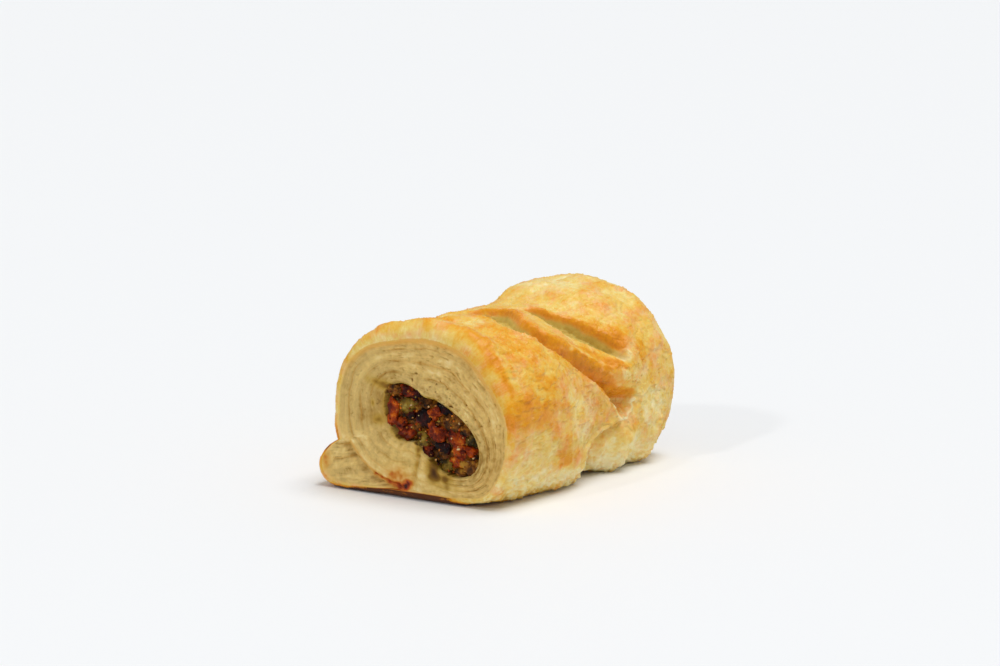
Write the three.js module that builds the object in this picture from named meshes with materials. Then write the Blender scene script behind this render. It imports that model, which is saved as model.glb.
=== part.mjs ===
// A party sausage roll: puff pastry wound round a seasoned filling, cut square at both ends and
// slashed twice across the top. The pastry's last turn runs out as a flat flap along one side.
// Millimetres, +Z up. The roll lies along X, front cut at -X, and stands on its flat underside.

import * as THREE from 'three';

// Driving dimensions
const rollLength = 71;
const frontX = -35;
const backX = frontX + rollLength;
const axisHeight = 17.5; // the section's polar centre, above the underside
const topHeight = 41.0; // at the front rim
const rightHalfWidth = 23.4;
const leftHalfWidth = 24.5;
const flap = { y: 15.8, z: 6.4, halfWidth: 13.6, halfHeight: 7.3, tilt: -10 };
const fillingCentre = { y: 0.75, z: 18.75 };
const fillingRadius = 9.2;
const fillingLobes = [
  { count: 1, size: 2.45, at: -127 },
  { count: 2, size: 4.1, at: 27 },
  { count: 3, size: 1.1, at: -25 },
  { count: 4, size: 0.95, at: 39 },
];
const fillingGap = 0.3;
const fillingSetBack = 0.9; // the filling shrinks back from the cut as it bakes
const fillingCrag = 0.7;
const rimRadius = { thin: 1.2, top: 3.9, under: 1.7 };
const lipDepth = 0.9; // the baked skin stands this far proud of the cut layers
const layerRidge = 0.25;
const creaseDepth = 1.0;
const creaseWidth = 1.0;
const flatWithin = 0.08; // the underside set flat on the baking tray
const slashOne = { depth: 2.5, shallower: 0.7, opening: 6.0 }; // the wedge nearer the front
const slashTwo = { depth: 1.0, deeper: 1.5, opening: 6.0, lip: 0.45 }; // the lens nearer the rear
const strap = { crest: 0.6, higher: 0.5, from: 2.0, further: 4.0, across: 4.6 }; // between the slashes
const strapEnd = { x: 11.0, deg: 164, length: 5.2, above: 9, below: 6.5, height: 1.9 }; // its lower end
const hollow = { x: 13.2, deg: 179.5, length: 3.8, above: 5, below: 8.5, depth: 2.8 };
const hollowLip = { at: 1.4, width: 0.3, height: 0.8 };
const waist = { x: -0.8, depth: 3.7, across: 5.0, lap: 0.7 }; // the front part laps over the rear here
const pucker = { pitch: 12.4, x: 13.2, height: 0.9 }; // the low bulges behind the waist
const lifted = { x: 6.5, length: 7, depth: 1.3 }; // the low edge stands off the table here
const dent = { x: -27.5, depth: 1.0 }; // behind the proud front rim
const sag = { x: -17.5, length: 6.5, depth: 1.5 }; // of the front part's top, towards the flap
const lateStart = { x: 16, length: 4.5, depth: 2.4 }; // the rear part rises later on the flap's side
const rearCheek = { height: 0.55 }; // the rear part's full right side
const wobble = 0.25;

// Mesh fineness
const around = 80;
const rowsToSlash = 14;
const rowsOnStrap = 14;
const rimSteps = 3;
const faceSteps = 8;
const channelSteps = 3;
const capSteps = 5;

// Shape helpers
const { PI, abs, cos, exp, hypot, log1p, max, min, sin, sqrt } = Math;
const radians = (degrees) => (degrees * PI) / 180;
const clamp01 = (t) => min(max(t, 0), 1);
const step = (from, to, t) => {
  const s = clamp01((t - from) / (to - from));
  return s * s * (3 - 2 * s);
};
const hump = (t, centre, width) => exp(-(((t - centre) / width) ** 2));
const skewHump = (t, before, after) => exp(-((t / (t < 0 ? before : after)) ** 2));
const plateau = (rise0, rise1, fall0, fall1, t) => step(rise0, rise1, t) * (1 - step(fall0, fall1, t));
const bend = (t, softness) => softness * log1p(exp(min(t / softness, 30)));
const softMin = (a, b, blend) => {
  const h = clamp01(0.5 + (0.5 * (b - a)) / blend);
  return b * (1 - h) + a * h - blend * h * (1 - h);
};
const softMax = (a, b, blend) => -softMin(-a, -b, blend);

// The section's half widths and height along the roll: a waist at the second slash's foot,
// a taller and wider rear
const topAt = (x) =>
  topHeight - 1.2 * step(-33, -26, x) - 0.6 * hump(x, -26, 4) - 1.4 * step(-12, 2, x)
  + 3.4 * step(7, 20, x) - 0.6 * step(29, 37, x);
const rightAt = (x) => rightHalfWidth + 1.4 * hump(x, -18, 12) - 0.8 * hump(x, 5, 6) + 2.0 * hump(x, 24, 11);
const leftAt = (x) => leftHalfWidth + 0.3 * hump(x, 0, 20) - 0.8 * step(20, 36, x);
const lowRightAt = (x) =>
  rightHalfWidth - 0.4 + 3.2 * hump(x, -8, 12) - 3.2 * hump(x, 1.5, 3.6) + 4.6 * hump(x, 19, 12)
  - 1.5 * step(28, 36, x);

// How far a ray from the section's centre runs before it meets the table
const reachToTable = (s) => (s < -0.001 ? axisHeight / -s : 200);

// The flap: a flat oval of pastry whose far side the ray leaves
function flapReach(c, s, x) {
  const tilt = radians(flap.tilt);
  const y = flap.y + 0.8 * sin(0.13 * x + 4);
  const z = flap.z - axisHeight;
  const dirU = c * cos(tilt) + s * sin(tilt);
  const dirV = s * cos(tilt) - c * sin(tilt);
  const fromU = -(y * cos(tilt) + z * sin(tilt));
  const fromV = -(z * cos(tilt) - y * sin(tilt));
  const a = (dirU / flap.halfWidth) ** 2 + (dirV / flap.halfHeight) ** 2;
  const b = 2 * ((dirU * fromU) / flap.halfWidth ** 2 + (dirV * fromV) / flap.halfHeight ** 2);
  const k = (fromU / flap.halfWidth) ** 2 + (fromV / flap.halfHeight) ** 2 - 1;
  const inside = b * b - 4 * a * k;
  return c > 0 && inside > 0 ? (-b + sqrt(inside)) / (2 * a) : 0;
}

// The plain wound section, before slashes and folds
function plainRadius(angle, x) {
  const c = cos(angle);
  const s = sin(angle);
  const low = step(0, 0.9, -s);
  const halfWidth = c > 0 ? leftAt(x) : rightAt(x) * (1 - low) + lowRightAt(x) * low;
  const halfHeight = s > 0 ? topAt(x) - axisHeight : axisHeight + 4;
  const squareness = s > 0 ? 2.25 : c > 0 ? 2.05 : 2.3 + 0.35 * step(-33, -20, x);
  const oval = (abs(c / halfWidth) ** squareness + abs(s / halfHeight) ** squareness) ** (-1 / squareness);
  const table = reachToTable(s);
  const round = softMin(oval, table, c > 0 ? 4 : 4.6 - 2.4 * step(-33, -18, x));
  return softMax(round, softMin(flapReach(c, s, x), table, 1.6), 0.6);
}

// Lines that the slashes' bottoms and the folds follow: x at each angle round the roll, in degrees
// from the flap's side (0) over the top (90) to the far side (180)
const slashOneAt = (deg) =>
  -7.0 - 6.2 * step(95, 126, deg) - 0.2 * bend(85 - deg, 8)
  + 0.56 * bend(deg - 138, 3) + 0.12 * bend(deg - 168, 2);
const slashTwoAt = (deg) => softMax(8.0 + 0.2 * (deg - 132) - 0.28 * bend(110 - deg, 4), -2.0, 1.0);

// How far each slash gapes: the first is a wedge that closes down the right side, the second a lens
const openOneAt = (deg) => 0.9 + slashOne.opening * (1 - step(98, 136, deg));
const openTwoAt = (deg) => 0.9 + slashTwo.opening * hump(deg, 129, 19);

// The front part's rear edge: down the first slash, round the hollow and back under to the waist
const roundHollowAt = (deg) => softMin(slashOneAt(deg), 3.0 + 0.5 * bend(deg - 168, 4), 1.5);
const foldAt = (deg) =>
  softMin(roundHollowAt(deg), waist.x + 4 * waist.depth * (1 - step(187, 202, deg)), 1);

// A trough with its bottom at 0: a crisp edge at the front and a wall that leans back
const gully = (past, front, back) =>
  past < 0 ? exp(-(abs(past / front) ** 3)) : exp(-((past / back) ** 2));

// The two slashes and the strap between them, which leans further back as it comes down the side
function slashRelief(deg, x) {
  const leaning = step(124, 146, deg);
  const one = x - slashOneAt(deg);
  const oneDepth = (slashOne.depth - slashOne.shallower * leaning) * plateau(66, 84, 170, 184, deg);
  let rise = -oneDepth * gully(one, openOneAt(deg), 1.0 + 2.4 * leaning);
  const crest = skewHump(one - strap.from - strap.further * leaning, 1.2 + 2.0 * leaning, strap.across);
  rise += (strap.crest + strap.higher * leaning) * crest * plateau(74, 92, 158, 172, deg);
  const downward = skewHump(deg - strapEnd.deg, strapEnd.above, strapEnd.below);
  rise += strapEnd.height * hump(x, strapEnd.x, strapEnd.length) * downward;
  const two = x - slashTwoAt(deg);
  const twoThere = plateau(84, 104, 154, 168, deg);
  const twoDepth = slashTwo.depth + slashTwo.deeper * plateau(98, 116, 144, 162, deg);
  rise -= twoDepth * gully(two, openTwoAt(deg), 1.0) * twoThere;
  return rise + slashTwo.lip * skewHump(two - 2.2, 1.2, 3.4) * twoThere;
}

// The hollow that the strap's end dips into, steeper above than below, with a lip round its low side
function hollowRelief(deg, x) {
  const along = (x - hollow.x) / hollow.length;
  const down = (deg - hollow.deg) / (deg < hollow.deg ? hollow.above : hollow.below);
  const out = hypot(along, down);
  const lowSide = (0.5 * along + 0.86 * down) / max(out, 0.05);
  const lip = hollowLip.height * hump(out, hollowLip.at, hollowLip.width) * step(-0.3, 1.0, lowSide);
  return lip - hollow.depth * exp(-(out ** 2));
}

// What the slashes and folds add to the radius
function relief(deg, x) {
  const pastDent = x - (dent.x + 0.15 * bend(deg - 70, 6));
  let rise = -dent.depth * skewHump(pastDent, 2, 3.5) * plateau(40, 60, 88, 106, deg);
  rise += slashRelief(deg, x) + hollowRelief(deg, x);
  const fold = x - foldAt(deg);
  rise += waist.lap * hump(fold, -2.5, 2.5) * plateau(158, 170, 235, 245, deg);
  const foldDepth = waist.depth * (0.24 + 0.76 * step(187, 203, deg));
  rise -= foldDepth * skewHump(fold, 0.55, waist.across) * plateau(164, 176, 235, 250, deg);
  rise -= sag.depth * hump(x, sag.x, sag.length) * plateau(38, 52, 68, 84, deg);
  rise -= lateStart.depth * hump(x, lateStart.x, lateStart.length) * plateau(30, 42, 58, 68, deg);
  rise += rearCheek.height * step(22, 30, x) * plateau(118, 132, 160, 178, deg);
  const ripple = cos((2 * PI * (x - pucker.x + 0.05 * (deg - 210))) / pucker.pitch);
  rise += pucker.height * ripple * plateau(6, 10, 32, 36, x) * plateau(190, 202, 224, 238, deg);
  rise += wobble * sin(0.31 * x + 0.035 * deg + 1) * sin(0.045 * deg - 0.12 * x);
  rise *= 1 - plateau(236, 250, 300, 330, deg);
  return rise - lifted.depth * hump(x, lifted.x, lifted.length) * plateau(222, 230, 246, 260, deg);
}

// The two mesh rows that run along the slashes, straight again where there is no slash
const rowOneAt = (deg) => -7.0 + (foldAt(deg) + 7.0) * plateau(50, 75, 250, 330, deg);
const rowTwoAt = (deg) => 6.8 + (slashTwoAt(min(deg, 165)) - 6.8) * plateau(60, 85, 250, 330, deg);

// x of mesh row i, from rim to rim; rows crowd together at the slashes
const rowCount = 2 * rowsToSlash + rowsOnStrap;
function rowX(i, deg, rim) {
  const one = rowOneAt(deg);
  const two = rowTwoAt(deg);
  if (i <= rowsToSlash) {
    const t = i / rowsToSlash;
    return frontX + rim + (one - frontX - rim) * t * (1.6 - 0.6 * t);
  }
  if (i >= rowsToSlash + rowsOnStrap) {
    const t = (rowCount - i) / rowsToSlash;
    return backX - rim - (backX - rim - two) * t * (1.6 - 0.6 * t);
  }
  const t = (i - rowsToSlash) / rowsOnStrap;
  return one + (two - one) * (t - 0.09 * sin(2 * PI * t));
}

// A point of the baked skin, drawn in by the rim's rounding
function skinPoint(angle, x, drawnIn) {
  const deg = (angle * 180) / PI;
  const radius = min(plainRadius(angle, x) + relief(deg, x), reachToTable(sin(angle)));
  const y = (radius - drawnIn) * cos(angle);
  const z = axisHeight + (radius - drawnIn) * sin(angle);
  return [x, y, z < flatWithin ? 0 : z];
}

const rimAt = (angle) => {
  const deg = (angle * 180) / PI;
  const over = (rimRadius.top - rimRadius.thin) * plateau(20, 70, 138, 178, deg);
  return rimRadius.thin + over + (rimRadius.under - rimRadius.thin) * plateau(222, 238, 324, 342, deg);
};

function fillingPoint(angle, drawnIn) {
  let radius = fillingRadius - drawnIn;
  for (const lobe of fillingLobes) radius += lobe.size * cos(lobe.count * (angle - radians(lobe.at)));
  return [fillingCentre.y + radius * cos(angle), fillingCentre.z + radius * sin(angle)];
}

// The crease carries the round part's outline on inwards over the flap
const creaseRadius = (deg) => 22.0 - 0.107 * (343 - deg);
const creaseRing = 3;

// How far in from the rim each ring of the cut face lies; one ring is led along the crease
function ringInward(ring, crease, led) {
  const even = 0.08 + (0.92 * (ring - 1)) / (faceSteps - 1);
  const evenCrease = 0.08 + (0.92 * (creaseRing - 1)) / (faceSteps - 1);
  const follow = evenCrease + (crease - evenCrease) * led;
  return ring <= creaseRing
    ? (even * follow) / evenCrease
    : follow + ((even - evenCrease) * (1 - follow)) / (1 - evenCrease);
}

// The cut face between the rim (inward 0) and the filling (inward 1): a proud lip over the top,
// wound layers as low ridges, and the crease where the last turn lies under the round
function facePoint(angle, ring, rim, end) {
  const deg = (angle * 180) / PI;
  const [fy, fz] = fillingPoint(angle, 0);
  const outer = hypot(rim[1], rim[2] - axisHeight);
  const inner = hypot(fy, fz - axisHeight);
  const onCrease = clamp01((outer - creaseRadius(deg)) / (outer - inner));
  const inward = ringInward(ring, max(onCrease, 0.16), plateau(262, 290, 343, 359, deg));
  const y = rim[1] * (1 - inward) + fy * inward;
  const z = rim[2] * (1 - inward) + fz * inward;
  let rise = -lipDepth * step(0.02, 0.08, inward) * plateau(10, 55, 140, 175, deg);
  rise += layerRidge * sin(2 * PI * (4 * inward + deg / 360)) * plateau(0, 0.1, 0.9, 1, inward);
  const fromCrease = hypot(y, z - axisHeight) - creaseRadius(deg);
  rise -= creaseDepth * hump(fromCrease, 0, creaseWidth) * plateau(288, 296, 341, 346, deg);
  return [(end < 0 ? frontX : backX) + end * rise, y, z];
}

// Angles round the section, closer together at the notch over the flap and on the folded side
function sectionAngles() {
  const fine = 720;
  const density = (deg) => 1 + 1.3 * hump(deg, 346, 13) + 0.45 * hump(deg, 175, 32);
  const sums = [0];
  for (let i = 0; i < fine; i++) sums.push(sums[i] + density((i + 0.5) * (360 / fine)));
  const angles = [];
  for (let k = 0, i = 0; k < around; k++) {
    const target = (k * sums[fine]) / around;
    while (sums[i + 1] <= target) i++;
    angles.push(radians((i + (target - sums[i]) / (sums[i + 1] - sums[i])) * (360 / fine)));
  }
  return angles;
}

// One closed body from rings of points; the last ring joins the first
function ringBody(rings, startCap = null, endCap = null) {
  const count = rings[0].length;
  const positions = rings.flat(2);
  const index = [];
  const at = (ring, k) => ring * count + (k % count);
  const joins = startCap ? rings.length - 1 : rings.length;
  for (let r = 0; r < joins; r++) {
    const next = (r + 1) % rings.length;
    for (let k = 0; k < count; k++) {
      index.push(at(r, k), at(next, k + 1), at(next, k));
      index.push(at(r, k), at(r, k + 1), at(next, k + 1));
    }
  }
  if (startCap) {
    const start = rings.length * count;
    positions.push(...startCap, ...endCap);
    for (let k = 0; k < count; k++) {
      index.push(start, at(0, k + 1), at(0, k));
      index.push(start + 1, at(rings.length - 1, k), at(rings.length - 1, k + 1));
    }
  }
  const geometry = new THREE.BufferGeometry();
  geometry.setAttribute('position', new THREE.Float32BufferAttribute(positions, 3));
  geometry.setIndex(index);
  geometry.computeVertexNormals();
  return geometry;
}

const angles = sectionAngles();

function pastryBody() {
  const rings = [];
  const skinRing = (place) => rings.push(angles.map((angle) => skinPoint(angle, ...place(angle))));
  for (let i = 0; i < rimSteps; i++) {
    const turn = (i / rimSteps) * (PI / 2);
    skinRing((angle) => [frontX + rimAt(angle) * (1 - cos(turn)), rimAt(angle) * (1 - sin(turn))]);
  }
  for (let i = 0; i <= rowCount; i++) skinRing((angle) => [rowX(i, (angle * 180) / PI, rimAt(angle)), 0]);
  for (let i = rimSteps - 1; i >= 0; i--) {
    const turn = (i / rimSteps) * (PI / 2);
    skinRing((angle) => [backX - rimAt(angle) * (1 - cos(turn)), rimAt(angle) * (1 - sin(turn))]);
  }
  const frontRim = rings[0];
  const backRim = rings[rings.length - 1];
  for (let i = 1; i <= faceSteps; i++) {
    rings.push(angles.map((angle, k) => facePoint(angle, i, backRim[k], 1)));
  }
  for (let i = 1; i < channelSteps; i++) {
    const x = backX - (i / channelSteps) * rollLength;
    rings.push(angles.map((angle) => [x, ...fillingPoint(angle, 0)]));
  }
  for (let i = faceSteps; i >= 1; i--) {
    rings.push(angles.map((angle, k) => facePoint(angle, i, frontRim[k], -1)));
  }
  return ringBody(rings);
}

// Chopped filling: its two ends are lumpy where the cut tore through the pieces
function fillingBody() {
  const half = rollLength / 2 - fillingSetBack;
  const middle = (frontX + backX) / 2;
  const lump = (y, z, end) => fillingCrag * sin(0.95 * y + 1.3 * end) * sin(0.85 * z - 0.4 * y + end);
  const capPoint = (angle, outward, end) => {
    const [ey, ez] = fillingPoint(angle, fillingGap);
    const y = fillingCentre.y + (ey - fillingCentre.y) * outward;
    const z = fillingCentre.z + (ez - fillingCentre.z) * outward;
    return [middle + end * (half + lump(y, z, end) * (1 - outward ** 6)), y, z];
  };
  const rings = [];
  for (let i = 1; i <= capSteps; i++) rings.push(angles.map((angle) => capPoint(angle, i / capSteps, -1)));
  for (let i = 1; i < channelSteps; i++) {
    const x = middle - half + (i / channelSteps) * 2 * half;
    rings.push(angles.map((angle) => [x, ...fillingPoint(angle, fillingGap)]));
  }
  for (let i = capSteps; i >= 1; i--) rings.push(angles.map((angle) => capPoint(angle, i / capSteps, 1)));
  return ringBody(rings, capPoint(0, 0, -1), capPoint(0, 0, 1));
}

function subPart(name, geometry, colour, roughness) {
  const material = new THREE.MeshStandardMaterial({ color: colour, roughness, metalness: 0 });
  const mesh = new THREE.Mesh(geometry, material);
  mesh.name = name;
  return mesh;
}

const pastry = subPart('pastry', pastryBody(), 0xd9a95b, 0.6);
const filling = subPart('filling', fillingBody(), 0x5a2d17, 0.45);

// The origin lies under the middle of the roll's box, on the table
pastry.geometry.computeBoundingBox();
const middle = pastry.geometry.boundingBox.getCenter(new THREE.Vector3());
const roll = new THREE.Group();
roll.add(pastry, filling);
roll.position.set(-middle.x, -middle.y, 0);

export default roll;
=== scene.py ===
import math

import bmesh
import bpy
import numpy as np
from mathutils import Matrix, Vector


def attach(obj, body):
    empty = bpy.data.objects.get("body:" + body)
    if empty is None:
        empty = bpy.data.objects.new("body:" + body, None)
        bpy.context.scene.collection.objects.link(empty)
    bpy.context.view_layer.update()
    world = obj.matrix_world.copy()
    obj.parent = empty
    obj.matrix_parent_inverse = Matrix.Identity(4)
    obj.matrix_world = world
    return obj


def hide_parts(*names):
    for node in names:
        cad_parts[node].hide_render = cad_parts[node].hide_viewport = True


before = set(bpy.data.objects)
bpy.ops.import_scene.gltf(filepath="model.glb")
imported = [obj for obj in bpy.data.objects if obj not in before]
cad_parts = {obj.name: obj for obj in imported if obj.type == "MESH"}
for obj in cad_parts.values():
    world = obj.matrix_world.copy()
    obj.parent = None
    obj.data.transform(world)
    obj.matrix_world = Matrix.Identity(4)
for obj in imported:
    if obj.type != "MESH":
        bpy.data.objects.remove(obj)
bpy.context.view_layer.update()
print("frame loaded")

mm = 0.001

# the roll's own axis runs along X; its front cut lies at -X and the flap at +Y (millimetres)
roll = {
    "frontX": -35,
    "backX": 36,
    "axisHeight": 17.5,
    "shift": (-0.49964, -2.3573, 0),
    "rimThin": 1.2,
    "rimTop": 3.9,
    "rimUnder": 1.7,
}


def cutX(end):
    # where the roll is cut: end is -1 at the front and 1 at the back
    return roll["frontX"] if end < 0 else roll["backX"]


def clamp01(t):
    return np.clip(t, 0, 1)


def step(start, end, t):
    s = clamp01((t - start) / (end - start))
    return s * s * (3 - 2 * s)


def hump(t, centre, width):
    return np.exp(-(((t - centre) / width) ** 2))


def skewHump(t, before, after):
    return np.exp(-((t / np.where(t < 0, before, after)) ** 2))


def plateau(rise0, rise1, fall0, fall1, t):
    return step(rise0, rise1, t) * (1 - step(fall0, fall1, t))


def bend(t, softness):
    return softness * np.log1p(np.exp(np.minimum(t / softness, 30)))


def softMin(a, b, blend):
    h = clamp01(0.5 + 0.5 * (b - a) / blend)
    return b * (1 - h) + a * h - blend * h * (1 - h)


def softMax(a, b, blend):
    return -softMin(-a, -b, blend)


def noise(x, y, z, size, seed):
    # gradient noise from about -1 to 1, its humps about size apart; size may differ along each axis
    table = np.random.default_rng(seed)
    grads = table.normal(size=(256, 3))
    grads /= np.linalg.norm(grads, axis=1, keepdims=True)
    order = table.permutation(256)
    at = np.stack(np.broadcast_arrays(x, y, z), -1) / size + 50.5
    cell = np.floor(at).astype(np.int64)
    part = at - cell
    fade = part ** 3 * (part * (part * 6 - 15) + 10)
    total = 0
    for corner in np.ndindex(2, 2, 2):
        pick = 0
        weight = 1
        for axis in range(3):
            pick = order[(pick + cell[..., axis] + corner[axis]) & 255]
            weight = weight * (fade[..., axis] if corner[axis] else 1 - fade[..., axis])
        total = total + weight * ((part - corner) * grads[pick]).sum(-1)
    return 1.6 * total


def layeredNoise(x, y, z, size, seed, octaves=3):
    total = 0
    for k in range(octaves):
        total = total + noise(x, y, z, np.asarray(size) / 2 ** k, seed + k) / 2 ** k
    return total


def lineDistance(a, b, route):
    # nearest distance from each point (a, b) to a line through the route's points
    nearest = np.full(np.shape(a), 1e9)
    for (a0, b0), (a1, b1) in zip(route[:-1], route[1:]):
        da, db = a1 - a0, b1 - b0
        t = clamp01(((a - a0) * da + (b - b0) * db) / (da * da + db * db))
        nearest = np.minimum(nearest, np.hypot(a - a0 - t * da, b - b0 - t * db))
    return nearest


# the wound pastry's section along the roll: each size at the front, then the steps (from x, to x, change)
# and the swells (about x, width, change) that it meets on the way
profiles = {
    "top": {"size": 41, "steps": ((-33, -26, -1.2), (-12, 2, -1.4), (7, 20, 3.4), (29, 37, -0.6)),
            "swells": ((-26, 4, -0.6),)},
    "right": {"size": 23.4, "steps": (), "swells": ((-18, 12, 1.4), (5, 6, -0.8), (24, 11, 2))},
    "lowRight": {"size": 23, "steps": ((28, 36, -1.5),),
                 "swells": ((-8, 12, 3.2), (1.5, 3.6, -3.2), (19, 12, 4.6))},
    "left": {"size": 24.5, "steps": ((20, 36, -0.8),), "swells": ((0, 20, 0.3),)},
}
# how square each quarter of the section is, and how softly it turns into the table and the flap
section = {
    "squareTop": 2.25, "squareLeft": 2.05, "squareRight": 2.3, "squarerBehind": 0.35, "belowTable": 4,
    "softLeft": 4, "softRight": 4.6, "sharperBehind": 2.4, "flapSoft": 1.6, "flapNotch": 0.6,
}


def profileAt(name, x):
    profile = profiles[name]
    size = profile["size"]
    for start, end, change in profile["steps"]:
        size = size + change * step(start, end, x)
    for centre, width, change in profile["swells"]:
        size = size + change * hump(x, centre, width)
    return size


def reachToTable(s):
    return np.where(s < -0.001, roll["axisHeight"] / np.maximum(-s, 0.001), 200)


flapShape = {"y": 15.8, "z": 6.4, "halfWidth": 13.6, "halfHeight": 7.3, "tilt": -10, "sway": 0.8}


def flapReach(c, s, x):
    # how far out the flap's leaning oval is met from the roll's axis, or 0
    tilt = math.radians(flapShape["tilt"])
    ct, st = math.cos(tilt), math.sin(tilt)
    y = flapShape["y"] + flapShape["sway"] * np.sin(0.13 * x + 4)
    z = flapShape["z"] - roll["axisHeight"]
    wide, high = flapShape["halfWidth"], flapShape["halfHeight"]
    dirU, dirV = (c * ct + s * st) / wide, (s * ct - c * st) / high
    fromU, fromV = -(y * ct + z * st) / wide, -(z * ct - y * st) / high
    a = dirU ** 2 + dirV ** 2
    b = 2 * (dirU * fromU + dirV * fromV)
    k = fromU ** 2 + fromV ** 2 - 1
    inside = b * b - 4 * a * k
    return np.where((c > 0) & (inside > 0), (-b + np.sqrt(np.maximum(inside, 0))) / (2 * a), 0)


def plainRadius(angle, x):
    c, s = np.cos(angle), np.sin(angle)
    low = step(0, 0.9, -s)
    right = profileAt("right", x) * (1 - low) + profileAt("lowRight", x) * low
    halfWidth = np.where(c > 0, profileAt("left", x), right)
    above = profileAt("top", x) - roll["axisHeight"]
    halfHeight = np.where(s > 0, above, roll["axisHeight"] + section["belowTable"])
    squareRight = section["squareRight"] + section["squarerBehind"] * step(-33, -20, x)
    square = np.where(s > 0, section["squareTop"], np.where(c > 0, section["squareLeft"], squareRight))
    oval = (np.abs(c / halfWidth) ** square + np.abs(s / halfHeight) ** square) ** (-1 / square)
    table = reachToTable(s)
    softRight = section["softRight"] - section["sharperBehind"] * step(-33, -18, x)
    roundPart = softMin(oval, table, np.where(c > 0, section["softLeft"], softRight))
    flap = softMin(flapReach(c, s, x), table, section["flapSoft"])
    return softMax(roundPart, flap, section["flapNotch"])


# the big forms on top of the plain section: two slashes, the strap between them with its rounded end, the
# hollow under that end, the waist where the front part laps over the rear, the puckers at the bottom, the
# low edge lifted off the table, the rim's dent, the sag behind it, and the rear part, which starts late on
# the flap's side and is full at its right
slashOne = {"depth": 2.5, "shallower": 0.7, "opening": 6}
slashTwo = {"depth": 1, "deeper": 1.5, "opening": 6, "lip": 0.45}
strap = {"crest": 0.6, "higher": 0.5, "from": 2, "further": 4, "across": 4.6}
strapEnd = {"x": 11, "deg": 164, "length": 5.2, "above": 9, "below": 6.5, "height": 1.9}
hollow = {"x": 13.2, "deg": 179.5, "length": 3.8, "above": 5, "below": 8.5, "depth": 2.8}
lowLip = {"at": 1.4, "width": 0.3, "height": 0.8}
waist = {"x": -0.8, "depth": 3.7, "across": 5, "lap": 0.7}
pucker = {"pitch": 12.4, "x": 13.2, "height": 0.9}
lifted = {"x": 6.5, "length": 7, "depth": 1.3}
rimDent = {"x": -27.5, "depth": 1}
sag = {"x": -17.5, "length": 6.5, "depth": 1.5}
lateStart = {"x": 16, "length": 4.5, "depth": 2.4}
rearCheek = {"height": 0.55}


# where the slashes' bottoms and the folds run: x at each angle, from the flap's side (0) over the top (90)
def slashOneAt(deg):
    top = -7 - 6.2 * step(95, 126, deg) - 0.2 * bend(85 - deg, 8)
    return top + 0.56 * bend(deg - 138, 3) + 0.12 * bend(deg - 168, 2)


def slashTwoAt(deg):
    return softMax(8 + 0.2 * (deg - 132) - 0.28 * bend(110 - deg, 4), -2, 1)


def openOneAt(deg):
    # how far the first slash gapes: a wedge that closes down the right side
    return 0.9 + slashOne["opening"] * (1 - step(98, 136, deg))


def openTwoAt(deg):
    # the second slash gapes like a lens
    return 0.9 + slashTwo["opening"] * hump(deg, 129, 19)


def foldAt(deg):
    # the front part's rear edge: down the first slash, round the hollow and back under to the waist
    roundHollow = softMin(slashOneAt(deg), 3 + 0.5 * bend(deg - 168, 4), 1.5)
    return softMin(roundHollow, waist["x"] + 4 * waist["depth"] * (1 - step(187, 202, deg)), 1)


def gully(past, front, back):
    # a trough with its bottom at 0: a crisp edge at the front and a wall that leans back
    return np.where(past < 0, np.exp(-np.abs(past / front) ** 3), np.exp(-((past / back) ** 2)))


def slashRelief(deg, x):
    # the strap leans further back as it comes down the side
    leaning = step(124, 146, deg)
    one = x - slashOneAt(deg)
    oneDepth = slashOne["depth"] - slashOne["shallower"] * leaning
    oneDepth = oneDepth * plateau(66, 84, 170, 184, deg)
    rise = -oneDepth * gully(one, openOneAt(deg), 1 + 2.4 * leaning)
    crest = skewHump(one - strap["from"] - strap["further"] * leaning, 1.2 + 2 * leaning, strap["across"])
    rise += (strap["crest"] + strap["higher"] * leaning) * crest * plateau(74, 92, 158, 172, deg)
    downward = skewHump(deg - strapEnd["deg"], strapEnd["above"], strapEnd["below"])
    rise += strapEnd["height"] * hump(x, strapEnd["x"], strapEnd["length"]) * downward
    two = x - slashTwoAt(deg)
    twoThere = plateau(84, 104, 154, 168, deg)
    twoDepth = slashTwo["depth"] + slashTwo["deeper"] * plateau(98, 116, 144, 162, deg)
    rise -= twoDepth * gully(two, openTwoAt(deg), 1) * twoThere
    return rise + slashTwo["lip"] * skewHump(two - 2.2, 1.2, 3.4) * twoThere


def hollowRelief(deg, x):
    # steeper above than below, with a lip round its low side
    along = (x - hollow["x"]) / hollow["length"]
    down = (deg - hollow["deg"]) / np.where(deg < hollow["deg"], hollow["above"], hollow["below"])
    out = np.hypot(along, down)
    lowSide = (0.5 * along + 0.86 * down) / np.maximum(out, 0.05)
    lip = lowLip["height"] * hump(out, lowLip["at"], lowLip["width"]) * step(-0.3, 1, lowSide)
    return lip - hollow["depth"] * np.exp(-(out ** 2))


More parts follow.
